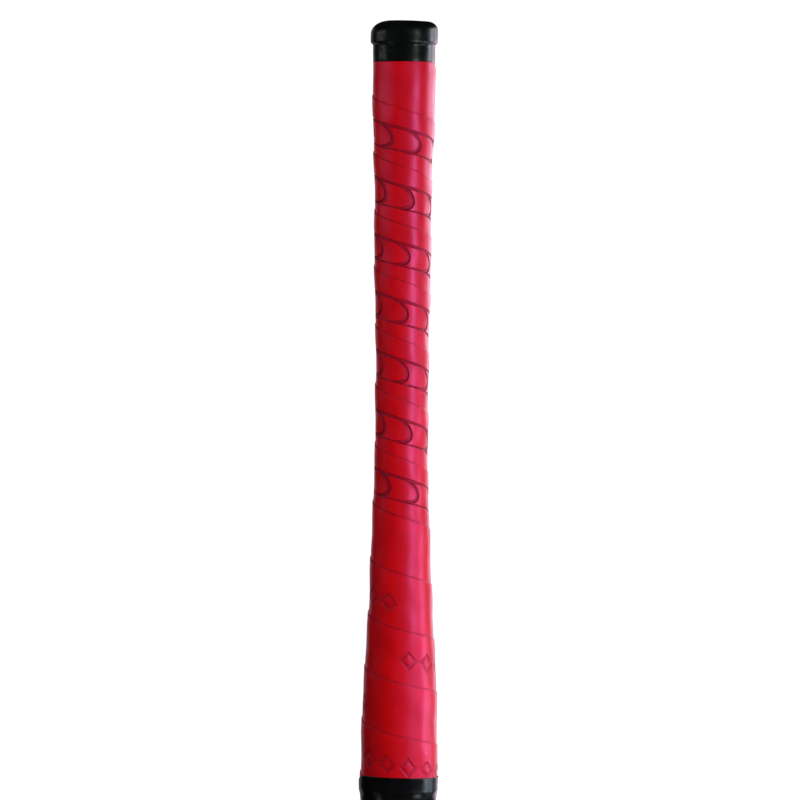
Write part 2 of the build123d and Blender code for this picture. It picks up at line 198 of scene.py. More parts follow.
# ---- Materials -------------------------------------------------------------------------------
class Paint:
    """A Principled material that is built up in layers."""

    def __init__(self, name, **values):
        """values are for the shader's sockets, each named with _ for a space."""
        self.material = bpy.data.materials.new(name)
        self.material.use_nodes = True
        self.nodes = self.material.node_tree.nodes
        self.links = self.material.node_tree.links
        self.shader = self.nodes["Principled BSDF"]
        for socket, value in values.items():
            self.shader.inputs[socket.replace("_", " ")].default_value = value
        self.normal = None

    def node(self, kind, inputs=(), **settings):
        """A node with its settings made and its inputs set or linked."""
        node = self.nodes.new(kind)
        for key, value in settings.items():
            setattr(node, key, value)
        for key, value in dict(inputs).items():
            if isinstance(value, bpy.types.NodeSocket):
                self.links.new(value, node.inputs[key])
            else:
                node.inputs[key].default_value = value
        return node

    def place(self):
        """Where on the piece a point is, in metres."""
        return self.node("ShaderNodeTexCoord").outputs["Object"]

    def noise(self, scale, detail, stretch=(1, 1, 1)):
        """Grey noise, finer for a larger scale and drawn out along an axis of small stretch."""
        spot = self.node("ShaderNodeMapping", {"Vector": self.place(), "Scale": stretch})
        return self.node("ShaderNodeTexNoise", {
            "Vector": spot.outputs["Vector"], "Scale": scale, "Detail": detail,
            "Roughness": 0.55}).outputs["Fac"]

    def ramp(self, value, low, high, start, end):
        """value between low and high, turned into start to end."""
        return self.node("ShaderNodeMapRange", {
            "Value": value, "From Min": low, "From Max": high, "To Min": start,
            "To Max": end}).outputs["Result"]

    def mix(self, factor, first, second):
        """Two colours, or sockets that carry them, mixed by factor."""
        return self.node("ShaderNodeMix", {0: factor, 6: first, 7: second},
                         data_type="RGBA").outputs[2]

    def bump(self, height, distance, strength):
        """Small relief on top of any that's already there, distance metres deep."""
        inputs = {"Height": height, "Distance": distance, "Strength": strength}
        if self.normal is not None:
            inputs["Normal"] = self.normal
        self.normal = self.node("ShaderNodeBump", inputs).outputs["Normal"]

    def finish(self, color, roughness):
        """The material, with its colour, roughness and relief linked to the shader."""
        self.links.new(color, self.shader.inputs["Base Color"])
        self.links.new(roughness, self.shader.inputs["Roughness"])
        self.links.new(self.normal, self.shader.inputs["Normal"])
        return self.material


def wrap_paint():
    """Tacky red polyurethane: fine pores, soft mottling, and painted shade in its grooves and laps."""
    paint = Paint("grip_polyurethane", Specular_Tint=(0.9, 0.3, 0.95, 1), Sheen_Weight=0.35,
                  Sheen_Roughness=0.25, Sheen_Tint=(0.8, 0.35, 1.0, 1), Specular_IOR_Level=0.42)
    # The pressed attribute is painted shade in the channels and along the laps: darker red, and
    # rougher.
    painted_shade = paint.node("ShaderNodeAttribute", attribute_name="pressed").outputs["Fac"]
    mottle = paint.ramp(paint.noise(90, 4), 0.3, 0.7, 0, 1)
    red = paint.mix(mottle, (0.50, 0.0012, 0.0006, 1), (0.60, 0.0022, 0.0012, 1))
    # painted shade: the red mixed towards a dark red where the pressed attribute is high
    deep = paint.mix(paint.ramp(painted_shade, 0, 1, 0, 0.92), red, (0.18, 0.0, 0.0, 1))
    pores = paint.noise(2600, 2)
    paint.bump(pores, 0.06 * MM, 0.3)
    paint.bump(paint.noise(420, 3), 0.12 * MM, 0.2)
    rough = paint.ramp(paint.noise(160, 3), 0.3, 0.7, 0.3, 0.38)
    rough = paint.node("ShaderNodeMath", {0: painted_shade, 1: 0.28, 2: rough},
                       operation="MULTIPLY_ADD").outputs[0]
    return paint.finish(deep, rough)


def rubber_paint(name, base, low, high):
    """Glossy black moulded rubber with a faint orange-peel skin and dusty patches."""
    paint = Paint(name, Specular_IOR_Level=0.22, Specular_Tint=(0.84, 1.0, 0.92, 1))
    dust = paint.ramp(paint.noise(60, 5), 0.45, 0.75, 0, 1)
    color = paint.mix(dust, (*base, 1), (*[1.8 * c + 0.001 for c in base], 1))
    paint.bump(paint.noise(900, 3), 0.05 * MM, 0.3)
    paint.bump(paint.noise(170, 2), 0.3 * MM, 0.22)
    return paint.finish(color, paint.ramp(paint.noise(150, 4), 0.3, 0.7, low, high))


def barrel_paint():
    """Black gloss lacquer with a slight orange peel and hairline handling scratches."""
    paint = Paint("barrel_lacquer", Coat_Weight=0.6, Coat_Roughness=0.06)
    haze = paint.ramp(paint.noise(35, 5), 0.4, 0.75, 0, 1)
    color = paint.mix(haze, (0.006, 0.0065, 0.007, 1), (0.016, 0.017, 0.019, 1))
    hair = paint.noise(700, 2, stretch=(1, 1, 0.02))
    paint.bump(paint.noise(500, 2), 0.04 * MM, 0.3)
    paint.bump(hair, 0.02 * MM, 0.15)
    return paint.finish(color, paint.ramp(paint.noise(80, 4), 0.3, 0.7, 0.14, 0.26))


def metal_paint(name, color, low, high, stretch=(1, 1, 1)):
    """Machined or plated metal with fine turning marks and uneven polish."""
    paint = Paint(name, Metallic=1.0)
    tone = paint.ramp(paint.noise(140, 4), 0.3, 0.7, 0, 1)
    paint.bump(paint.noise(1500, 2, stretch=stretch), 0.03 * MM, 0.3)
    shade = paint.mix(tone, (*color, 1), (*[0.72 * c for c in color], 1))
    return paint.finish(shade, paint.ramp(paint.noise(260, 3), 0.3, 0.7, low, high))


def soft_paint(name, color, scale, depth, low=0.6, high=0.85):
    """Foam, moulded nylon or tape: a grain of the given scale and a little mottling."""
    paint = Paint(name)
    tone = paint.ramp(paint.noise(70, 4), 0.3, 0.7, 0, 1)
    shade = paint.mix(tone, (*color, 1), (*[0.7 * c for c in color], 1))
    paint.bump(paint.noise(scale, 3), depth, 0.5)
    return paint.finish(shade, paint.ramp(paint.noise(300, 3), 0.3, 0.7, low, high))


# ---- The winding's geometry ------------------------------------------------------------------
CORE = smoothed(*side_of("grip_underlay"))
SKIN = smoothed(*side_of("grip_wrap"))


def lap_height(angle):
    """Height of the helix that the tape's upper edge follows, at a total angle."""
    def wound(turns):
        """Depth in millimetres, carried on evenly past the first and the last lap."""
        known = np.arange(len(LAP_DEPTHS))
        depth = np.interp(turns, known, LAP_DEPTHS)
        first, last = LAP_DEPTHS[1] - LAP_DEPTHS[0], LAP_DEPTHS[-1] - LAP_DEPTHS[-2]
        depth = depth + np.minimum(turns, 0) * first
        return depth + np.maximum(turns - known[-1], 0) * last

    turns = (angle - LAP_BEARING) / TURN
    depth = (wound(turns - 0.25) + wound(turns) + wound(turns + 0.25)) / 3
    sag = FRONT_SAG * smoothstep((turns - SAG_START) / SAG_GROWTH)
    return AXIS_TOP - depth * MM - sag * (np.cos(angle) - math.cos(LAP_BEARING))


def core_radius(height):
    """Radius of what the tape is wound on."""
    return np.interp(height, *CORE)


def full_thickness(height):
    """Thickness of the tape away from its thinned edges."""
    return np.interp(height, *SKIN) - core_radius(height) - EDGE / 2


def lumps(angle, height):
    """Slow unevenness of a grip that was pulled on by hand."""
    slow = np.sin(2 * angle + height / (11 * MM)) + 0.8 * np.sin(angle + height / (23 * MM) + 1.1)
    middle = np.sin(3 * angle - height / (6.3 * MM)) + 0.5 * np.sin(7 * angle + height / (3.1 * MM))
    quick = np.sin(5 * angle - height / (2.3 * MM)) * np.sin(2 * angle + height / (9 * MM))
    return MM * (0.11 * slow + 0.08 * middle + 0.05 * quick)


def scallop_count(turns):
    """How many scallops have passed at a number of turns; they drift a little each turn."""
    drift = np.radians(SCALLOP_BEARING + SCALLOP_DRIFT * (turns - DRIFT_CENTRE) ** 2)
    return SCALLOPS_PER_TURN * (LAP_BEARING + TURN * turns - drift) / TURN


TURN_TABLE = np.linspace(-2, len(LAP_DEPTHS) + 2, 5000)
COUNT_TABLE = scallop_count(TURN_TABLE)


def turns_at(count):
    """The number of turns at which that many scallops have passed."""
    return np.interp(count, COUNT_TABLE, TURN_TABLE)


def column_counts(start, end):
    """Scallop counts of the mesh columns: along the channels, and evenly in between."""
    near = GROOVE_ROWS * GROOVE_HALF / SCALLOP_PITCH
    between = np.linspace(near[-1], 1 + near[0], COLUMNS_BETWEEN + 2)[1:-1]
    pattern = np.concatenate([near, between])
    first, last = np.floor(scallop_count(np.array([start, end])))
    counts = (np.arange(first, last + 1)[:, None] + pattern).ravel()
    return counts[(counts > scallop_count(start)) & (counts < scallop_count(end))]


def lozenge_place(angle, turns, radius):
    """Distance along the tape from the nearest lozenge's centre, and whether one is there."""
    along = radius * (angle - LAP_BEARING)
    inside = np.zeros_like(along)
    from_centre = np.full_like(along, LOZENGE_PITCH / 2)
    for first, last in LOZENGE_RUNS:
        start = radius * TURN * first
        count = np.floor(radius * TURN * (last - first) / LOZENGE_PITCH)
        index = np.clip(np.round((along - start) / LOZENGE_PITCH - 0.5), 0, count - 1)
        here = (turns >= first - PATTERN_GAP) & (turns <= last + PATTERN_GAP)
        from_centre = np.where(here, along - start - (index + 0.5) * LOZENGE_PITCH, from_centre)
        inside = np.where(here, 1.0, inside)
    return from_centre, inside


def band_strength(turns):
    """1 where the rails and scallops have their full depth, and 0 beyond the band's ends."""
    return smoothstep((turns - BAND_START) / BAND_FADE) * smoothstep((BAND_END - turns) / BAND_FADE)


def lozenge_share(turns):
    """0 where the mesh follows the scallops, 1 above and below them."""
    before = 1 - smoothstep((turns - BAND_START + MESH_CHANGE) / (MESH_CHANGE - PATTERN_GAP))
    after = smoothstep((turns - BAND_END - PATTERN_GAP) / MESH_CHANGE)
    return np.maximum(before, after)


def guide_lines(angle, turns, pitch, radius):
    """Two lines that the tape's mesh rows follow, as distances below the lap.

    They are the two rails, and further up or down the outline of the row of lozenges.
    """
    upper = RAIL_TOP * pitch - RAIL_LEAN * np.sin(angle)
    lower = RAIL_BOTTOM * pitch - 2 * RAIL_LEAN * np.sin(angle)
    middle = (upper + lower) / 2
    from_centre, _ = lozenge_place(angle, turns, radius)
    reach = LOZENGE_HALF_HEIGHT * (1 - np.abs(from_centre) / LOZENGE_HALF_LENGTH)
    reach = np.maximum(reach, GUIDE_GAP)
    share = lozenge_share(turns)
    return upper + (middle - reach - upper) * share, lower + (middle + reach - lower) * share


def wrap_rows(upper, lower, pitch):
    """Distances below the lap line of the tape's outer rows, from its upper edge to its lower."""
    width = pitch + OVERLAP
    rows = [line + spread * RAIL_HALF for line in (upper, lower) for spread in GROOVE_ROWS]
    rows += [upper + (lower - upper) * share for share in ROWS_BETWEEN_RAILS]
    rows += [depth * MM + 0 * pitch for depth in ROWS_BELOW_LAP]
    rows += [pitch - depth * MM for depth in ROWS_ABOVE_NEXT_LAP]
    rows += [width - depth * MM for depth in ROWS_ABOVE_LOWER_EDGE]
    return np.sort(np.array(rows), axis=0)


def scallop_mesh(counts, across, half, share):
    """Scallop counts of mesh points, bent to follow the scallops, for rows at given heights.

    across is -1 at the upper rail and 1 at the lower one, half is half the distance between
    them, and share is how little the mesh follows the scallops.
    """
    inside = np.clip(np.abs(across), 0, 0.999)
    bulge = np.sqrt(1 - inside ** 2)
    slope = SCALLOP_REACH / half * inside / bulge
    lean = 1 + (np.minimum(np.sqrt(1 + slope ** 2), STEEPEST) - 1) * (1 - share)
    whole = np.round(counts)
    offset = counts - whole
    edge = GROOVE_ROWS[-1] * GROOVE_HALF / SCALLOP_PITCH
    squeeze = (0.5 - edge * lean) / (0.5 - edge)
    outside = np.sign(offset) * (edge * lean + (np.abs(offset) - edge) * squeeze)
    bent = np.where(np.abs(offset) <= edge, offset * lean, outside)
    return whole + bent - (1 - share) * SCALLOP_REACH / SCALLOP_PITCH * (1 - bulge), offset


def channel(distance):
    """Depth of a channel, from 0 to 1, at a distance from its middle in half widths."""
    return smoothstep((1 - np.abs(distance)) / (1 - CHANNEL_FLOOR))


def channel_shade(distance):
    """Painted shade over a channel: most on its walls, less on its floor."""
    size = np.abs(distance)
    outer = smoothstep((CHANNEL_SHADE - size) / (CHANNEL_SHADE - 1))
    return outer * (0.5 + 0.5 * smoothstep(size / CHANNEL_FLOOR))


def pressed(below, upper, lower, turns, offset, lozenge):
    """Depth of what is pressed in, and painted shade over it, from 0 to 1, at distances below the lap
    line.

    offset is the distance from the nearest scallop, in scallops. lozenge holds the distance along
    the tape from the nearest lozenge, whether one is there, and where below the lap their row is.
    """
    across = (below - (upper + lower) / 2) / ((lower - upper) / 2)
    scallop = np.where(np.abs(across) < 1, offset * SCALLOP_PITCH / GROOVE_HALF, OFF_CHANNEL)
    lines = [(below - upper) / RAIL_HALF, (below - lower) / RAIL_HALF, scallop]
    band = band_strength(turns)
    depth = band * np.max([channel(line) for line in lines], axis=0)
    shade = band * np.max([channel_shade(line) for line in lines], axis=0)
    along, inside, middle = lozenge
    size = np.abs(along) / LOZENGE_HALF_LENGTH + np.abs(below - middle) / LOZENGE_HALF_HEIGHT
    side = math.hypot(LOZENGE_HALF_LENGTH, LOZENGE_HALF_HEIGHT)
    to_side = LOZENGE_HALF_LENGTH * LOZENGE_HALF_HEIGHT / side
    outline = (size - LOZENGE_LINE) * to_side / (LOZENGE_GROOVE * GROOVE_HALF)
    depth = np.maximum(depth, LOZENGE_DEPTH * inside * channel(outline))
    return depth, np.maximum(shade, LOZENGE_DEPTH * inside * channel_shade(outline))


def tape_layers(angle, pitch, below, height):
    """Radii of the tape's inner and outer faces at a distance below its lap line.

    Its upper strip lies over the thinned lower strip of the turn above. Past that strip's edge it
    comes down to the core, while its outside stays a little higher and evens out slowly.
    """
    core, full = core_radius(height), full_thickness(height)
    under = smoothstep((OVERLAP - below) / OVERLAP)
    falling = EDGE * (1 - smoothstep((below - OVERLAP) / DRAPE))
    lift = np.where(below < OVERLAP, EDGE + (full - EDGE) * under, falling)
    from_edge = np.minimum(below, pitch + OVERLAP - below)
    thick = EDGE + (full - EDGE) * smoothstep(from_edge / OVERLAP)
    rounding = 0.5 * EDGE * (1 - smoothstep(below / EDGE_ROUNDING)) ** 2
    swell = EDGE * (1 - smoothstep((below - OVERLAP) / SWELL)) - falling
    swell = np.where(below < OVERLAP, 0, swell)
    inner = core + lift + CLEARANCE
    return inner, inner + thick + swell - rounding + lumps(angle, height)


def lap_shade(angle, lap, pitch, below):
    """Painted shade along the lines where one turn ends over the next: less of it towards the right.
    """
    near = 1 - np.minimum(below, np.abs(below - pitch)) / LAP_SHADE
    line = lap - np.where(below > pitch / 2, pitch, 0)
    side = np.sin(angle)
    near = near * np.where(line > PLAIN_LAPS, 0.65 - 0.35 * side, 0.9 - 0.3 * side)
    return near * np.where(line > FAINT_LAPS, 0.6, 1)


def ribbon_columns():
    """Scallop counts, turns, angles, lap heights and pitches of the ribbon's mesh columns."""
    first = (WRAP_HIGH.z - AXIS_TOP) / MM + LAP_DEPTHS[0]
    start = -first / (LAP_DEPTHS[1] - LAP_DEPTHS[0]) - LEAD_IN
    counts = column_counts(start, len(LAP_DEPTHS) + LEAD_OUT)
    turns = turns_at(counts)
    angle = LAP_BEARING + TURN * turns
    lap = lap_height(angle)
    pitch = lap - lap_height(angle + TURN)
    lower_edge = lap - (pitch + OVERLAP)
    kept = (lower_edge < WRAP_HIGH.z - LEAST_STRIP) & (lap > WRAP_LOW.z + LEAST_STRIP)
    return [table[kept] for table in (counts, turns, angle, lap, pitch)]


def cut_level(lap, below, width, outer_rows):
    """Heights of the ribbon's points, with what is past either end of the wrap cut off level.

    The rows that a cut brings together stay a hair apart, in their order on each face.
    """
    inner_rows = len(below) - outer_rows
    order = np.concatenate([np.arange(outer_rows), np.arange(inner_rows)[::-1]])[:, None]
    rest = np.concatenate([np.arange(outer_rows)[::-1], np.arange(inner_rows)])[:, None]
    highest = np.minimum(lap, WRAP_HIGH.z) - order * CUT_GAP
    lowest = np.maximum(lap - width, WRAP_LOW.z) + rest * CUT_GAP
    return np.clip(lap - below, np.minimum(lowest, highest), highest)


def make_wrap():
    """The red tape as one closed ribbon, square cut level at the cap and at its lower end."""
    counts, turns, angle, lap, pitch = ribbon_columns()
    width = pitch + OVERLAP
    radius = core_radius(lap - pitch / 2) + THICKNESS
    upper, lower = guide_lines(angle, turns, pitch, radius)
    middle, half = (upper + lower) / 2, (lower - upper) / 2
    outer_below = wrap_rows(upper, lower, pitch)
    inner_below = np.array([width * share for share in ROWS_INSIDE])
    below = np.concatenate([outer_below, inner_below])
    outside = np.arange(len(below))[:, None] < len(outer_below)

    # Each column bends along its scallop, and so its points move round the stick.
    bent, offset = scallop_mesh(counts, (below - middle) / half, half, lozenge_share(turns))
    angle = LAP_BEARING + TURN * turns_at(bent)
    lap = lap_height(angle)
    height = cut_level(lap, below, width, len(outer_below))
    below = lap - height

    lozenge = (*lozenge_place(angle, turns, radius), middle)
    depth, shade = pressed(below, upper, lower, turns, offset, lozenge)
    shade = np.maximum(shade, lap_shade(angle, lap, pitch, below))
    inner, outer = tape_layers(angle, pitch, below, height)
    points = at_bearing(angle, np.where(outside, outer - GROOVE_DEPTH * depth, inner), height)
    rows, columns = height.shape
    faces = grid_faces(rows, columns, wrap_rows=True)[:, ::-1]
    first_end = [row * columns for row in range(rows)]
    ends = [first_end[::-1], [corner + columns - 1 for corner in first_end]]
    piece = add_mesh("grip_wrap_tape", points, faces, wrap_paint(), ends)
    # The pressed attribute carries the painted shade of the channels and the laps.
    add_attribute(piece, "pressed", np.where(outside, shade, 0))
    return piece


def wrap_outside(angle, height):
    """Radius of the finished wrap's outside at a bearing and height."""
    radius = core_radius(height)
    for turn in range(-2, len(LAP_DEPTHS) + 2):
        total = angle + TURN * turn
        lap = lap_height(total)
        pitch = lap - lap_height(total + TURN)
        below = lap - height
        _, outer = tape_layers(total, pitch, below, height)
        radius = np.where((below >= 0) & (below < pitch), outer, radius)
    return radius


def make_turned(name, rings, material, segments, shape=None):
    """A closed solid of rings about the axis.

    Each ring is a radius and a height, and either can be one value or one for each bearing.
    """
    angle = np.linspace(0, TURN, segments, endpoint=False)
    angle = np.repeat(angle[None], len(rings), axis=0)
    radius = np.array([ring[0] + 0 * angle[0] for ring in rings])
    height = np.array([ring[1] + 0 * angle[0] for ring in rings])
    if shape is not None:
        radius, height = shape(angle, radius, height)
    faces = grid_faces(*radius.shape, wrap_columns=True)
    last = (len(rings) - 1) * segments
    ends = [list(range(segments))[::-1], list(range(last, last + segments))]
    return add_mesh(name, at_bearing(angle, radius, height), faces, material, ends)


def arc(centre, size, first, last, steps):
    """Rings along an elliptical arc, its angles in degrees from outwards to up."""
    return [(centre[0] + size[0] * math.cos(a), centre[1] + size[1] * math.sin(a))
            for a in np.radians(np.linspace(first, last, steps))]


def straight(start, end, steps):
    """Rings evenly along a straight line, with neither of its ends."""
    shares = np.linspace(0, 1, steps + 2)[1:-1]
    return [tuple(a + (b - a) * share for a, b in zip(start, end)) for share in shares]


# ---- Butt cap --------------------------------------------------------------------------------
CAP_LOW, CAP_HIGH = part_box("butt_cap")
CAP_COLUMNS = 192
CAP_SHOULDER = (4.8 * MM, 4.2 * MM)     # the rounding of the top edge, across and down
CAP_SLOPE = (5.2 * MM, 2.6 * MM)        # how much more it is rounded on the left
CAP_SLOPE_BEARING = 0.25                # it is roundest this many radians in front of the left
CAP_BEAD = 1.5 * MM                     # radius under the rim
CAP_CREASE = 12.2 * MM                  # depth of the crease below the top
CAP_FILLET = 0.6 * MM                   # radius in the crease
CAP_STEP = 1.2 * MM                     # how far the rim stands out over the skirt
CAP_WALL = 2 * MM                       # thickness of the skirt
CAP_MARGINS = (0.5 * MM, 0.8 * MM)      # ends of the skirt without its evenly spaced rings
CAP_LIP = 0.35 * MM                     # rounding of the skirt's lower edge outside
CAP_CHAMFER = 0.2 * MM                  # and its chamfer inside
CAP_DOME = 0.2 * MM                     # how much higher the middle of the top is
CAP_DIP = 0.5 * MM                      # how far the top dips to the right
CAP_TOP_ROWS = (0.98, 0.85, 0.65, 0.4, 0.15)    # rings on the top, as shares of its flat part


def cap_rings(angle):
    """The cap's outline from the bore's lower edge, round the outside, to near the top's middle."""
    low, top = CAP_LOW.z, CAP_HIGH.z
    rim = CAP_HIGH.x
    skirt = rim - CAP_STEP
    bore = skirt - CAP_WALL
    crease = top - CAP_CREASE
    left = np.clip(-np.sin(angle - CAP_SLOPE_BEARING), 0, 1) ** 1.5
    dip = CAP_DIP * (0.5 + 0.5 * np.sin(angle))
    across = CAP_SHOULDER[0] + CAP_SLOPE[0] * left
    down = CAP_SHOULDER[1] + CAP_SLOPE[1] * left
    flat = rim - across
    shoulder = top - CAP_DOME - dip - down

    rings = [(bore, low + CAP_CHAMFER), (bore + CAP_CHAMFER, low)]
    rings += arc((skirt - CAP_LIP, low + CAP_LIP), (CAP_LIP, CAP_LIP), -90, 0, 5)
    rings += straight((skirt, low + CAP_MARGINS[0]), (skirt, crease - CAP_MARGINS[1]), 8)
    rings += arc((skirt + CAP_FILLET, crease - CAP_FILLET), (CAP_FILLET, CAP_FILLET), 180, 110, 6)
    rings += arc((rim - CAP_BEAD, crease + CAP_BEAD), (CAP_BEAD, CAP_BEAD), -75, 0, 8)
    rings += straight((rim, crease + 1.15 * CAP_BEAD), (rim, shoulder), 6)
    rings += arc((flat, shoulder), (across, down), 6, 84, 16)
    rings += [(flat * share, top - dip - CAP_DOME * share ** 2) for share in CAP_TOP_ROWS]
    return rings


def make_cap():
    """The butt cap's rubber, one closed moulding."""
    def sway(angle, radius, height):
        """A moulding's slight unevenness, none of it near the middle of the top."""
        outer = smoothstep((radius / CAP_HIGH.x - 0.6) / 0.4)
        wave = np.sin(2 * angle + height / (5 * MM)) + 0.6 * np.sin(3 * angle - height / (3.1 * MM))
        ripple = np.sin(8 * angle + height / (1.5 * MM)) * np.sin(3 * angle - height / (4 * MM))
        return radius - outer * MM * (0.13 + 0.06 * wave + 0.05 * ripple), height

    paint = rubber_paint("cap_rubber_gloss", (0.0022, 0.0028, 0.0027), 0.24, 0.36)
    rings = cap_rings(np.linspace(0, TURN, CAP_COLUMNS, endpoint=False))
    return make_turned("butt_cap_rubber", rings, paint, CAP_COLUMNS, sway)


# ---- Finishing tape --------------------------------------------------------------------------
TAPE_COLUMNS = 288
TAPE_ROWS = 60                          # besides those of its two edges
TAPE_END = math.radians(-97)            # bearing of its free end, at the back left
TAPE_DIP = 3.2 * MM                     # how far its upper edge drops there,
TAPE_DIP_REACH = 0.3                    # and over how many radians
TAPE_TILT = 0.45 * MM                   # half of how far that edge slopes across the stick,
TAPE_TILT_BEARING = 0.4                 # down to this many radians behind the right
TAPE_THICKNESS = 0.24 * MM
TAPE_STEP = 0.05                        # radians that the step at its free end takes,
TAPE_LAYER = 0.5                        # and that its second layer takes to thin out again
TAPE_LIFT = 0.22 * MM                   # how far its outside stands off the wrap
TAPE_BEVEL = 0.12 * MM                  # rounding of its edges
TAPE_CREASES = 0.09 * MM                # height of its creases below the wrap
TAPE_JOIN = 3 * MM                      # height over which it comes in below the wrap's end
TAPE_EDGE_ROW = 0.15 * MM               # distance of the next mesh row from each edge


def make_finishing_tape():
    """Stretch vinyl over the end of the wrap, a turn and a bit, with its free end on the left."""
    low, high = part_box("finishing_tape")
    heights, radii = side_of("finishing_tape")
    levels = np.linspace(high.z - TAPE_EDGE_ROW, low.z + TAPE_EDGE_ROW, TAPE_ROWS)
    levels = np.concatenate([[high.z], levels, [low.z]])
    angle = np.linspace(0, TURN, TAPE_COLUMNS, endpoint=False)
    angle, level = np.meshgrid(angle, levels)
    from_end = (angle - TAPE_END + math.pi) % TURN - math.pi
    upper = (level - low.z) / (high.z - low.z)
    tilt = TAPE_TILT * (1 + np.sin(angle - TAPE_TILT_BEARING))
    edge = tilt + TAPE_DIP * np.exp(-(from_end / TAPE_DIP_REACH) ** 2)
    height = level - edge * smoothstep(upper)
    over_wrap = wrap_outside(angle, height) + TAPE_LIFT
    base = np.interp(height, heights, radii)
    joined = smoothstep(0.5 + (height - WRAP_LOW.z) / TAPE_JOIN)
    creases = np.sin(5 * angle + height / (1.7 * MM)) + 0.7 * np.sin(9 * angle - height / (1.1 * MM))
    pull = TAPE_CREASES * creases * (1 - joined)
    outer = base + (np.maximum(over_wrap, base) - base) * joined + pull
    layer = smoothstep(0.5 + from_end / TAPE_STEP) * smoothstep(1 - from_end / TAPE_LAYER)
    outer = outer + TAPE_THICKNESS * layer
    outer[[0, -1]] -= TAPE_BEVEL
    inner = outer[::-1] - TAPE_THICKNESS
    radius = np.concatenate([outer, inner])
    height = np.concatenate([height, height[::-1]])
    angle = np.concatenate([angle, angle[::-1]])
    paint = rubber_paint("finishing_vinyl", (0.0026, 0.0026, 0.0032), 0.2, 0.3)
    faces = grid_faces(*radius.shape, wrap_rows=True, wrap_columns=True)[:, ::-1]
    return add_mesh("finishing_tape_vinyl", at_bearing(angle, radius, height), faces, paint)


# ---- Pieces ----------------------------------------------------------------------------------
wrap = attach(make_wrap(), BODY)
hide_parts("grip_wrap")

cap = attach(make_cap(), BODY)
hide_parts("butt_cap")

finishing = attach(make_finishing_tape(), BODY)
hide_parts("finishing_tape")

CAD_PAINTS = {
    "tip_bumper": rubber_paint("bumper_rubber", (0.008, 0.009, 0.009), 0.25, 0.4),
    "barrel_tube": barrel_paint(),
    "plug_screws": metal_paint("black_oxide", (0.05, 0.05, 0.055), 0.3, 0.5),
    "handle_tube": metal_paint("drawn_alloy", (0.75, 0.76, 0.78), 0.25, 0.4, (1, 1, 0.05)),
    "taper_collar": soft_paint("collar_foam", (0.03, 0.03, 0.032), 900, 0.2 * MM),
    "foam_plug": soft_paint("open_foam", (0.12, 0.12, 0.13), 500, 0.6 * MM),
    "butt_plug": soft_paint("black_nylon", (0.02, 0.02, 0.022), 1200, 0.05 * MM, 0.4, 0.55),
    "grip_underlay": soft_paint("underlay_cloth", (0.6, 0.58, 0.5), 1600, 0.1 * MM),
    "isolation_sleeve": soft_paint("seal_elastomer", (0.015, 0.015, 0.016), 700, 0.06 * MM, 0.35, 0.5),
    "weight_bolt": metal_paint("zinc_plate", (0.62, 0.63, 0.66), 0.2, 0.35),
    "weight_disc_1": metal_paint("turned_steel", (0.42, 0.43, 0.45), 0.25, 0.42, (0.02, 0.02, 1)),
}
SAME_PAINT = {
    "end_plug": "butt_plug", "end_seal": "isolation_sleeve", "flat_washers": "weight_bolt",
    "spring_washer": "weight_bolt", "stack_nut": "weight_bolt",
}
for number in range(1, 5):
    SAME_PAINT[f"weight_disc_{number}"] = "weight_disc_1"
    SAME_PAINT[f"rattle_ring_{number}"] = "isolation_sleeve"
for node, cad_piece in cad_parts.items():
    paint = CAD_PAINTS.get(SAME_PAINT.get(node, node))
    if paint is not None:
        for index in range(len(cad_piece.data.materials)):
            cad_piece.data.materials[index] = paint


# ---- Stage, lights and camera ----------------------------------------------------------------
FLOOR_RADII = (4.6, 4.59, 2.5, 1.2, 0.5, 0.2, 0.01)     # the second keeps the edge's bend narrow
FLOOR_DEPTH = 0.02
FLOOR_GLOW = 0.68
OVERHEAD = 1.5                          # strength of the light from straight above
OVERHEAD_SPREAD = math.radians(30)
BACKGROUND = 1.05                       # brightness of the world to the camera,
REFLECTED = 0.004                       # in reflections
FILL = 0.03                             # and as light from all round
FRAME_SIDE = 0.4                        # width of the view at the stick
SENSOR = 36.0                           # width of the camera's sensor, in millimetres
CAMERA_DISTANCE = 3.0
CAMERA_RISE = math.radians(1.5)
CAMERA_ROLL = 0.0069                    # the stick leans a little to the right
CAMERA_CENTRE = Vector((-0.85 * MM, 0, AXIS_TOP - 189.7 * MM))      # the middle of the view
COOL = (0.8, 0.82, 1.0)
PINK = (0.92, 0.76, 0.95)
LEFT_OUT = bpy.data.collections.new("left_out")     # what the soft boxes don't light: the floor


def make_floor():
    """A wide plain pale floor under the tip."""
    paint = soft_paint("pale_floor", (0.5, 0.5, 0.5), 200, 0.2 * MM, 0.7, 0.9)
    glow = paint.node_tree.nodes["Principled BSDF"].inputs
    glow["Emission Color"].default_value = (1, 1, 1, 1)
    glow["Emission Strength"].default_value = FLOOR_GLOW
    rings = [(FLOOR_RADII[0], -FLOOR_DEPTH)]
    rings += [(radius, 0.0) for radius in FLOOR_RADII]
    floor = make_turned("floor", rings, paint, 96)
    floor.visible_diffuse = False       # so the colours aren't washed out from below
    floor.visible_glossy = False
    LEFT_OUT.objects.link(floor)
    LEFT_OUT.collection_objects[0].light_linking.link_state = "EXCLUDE"


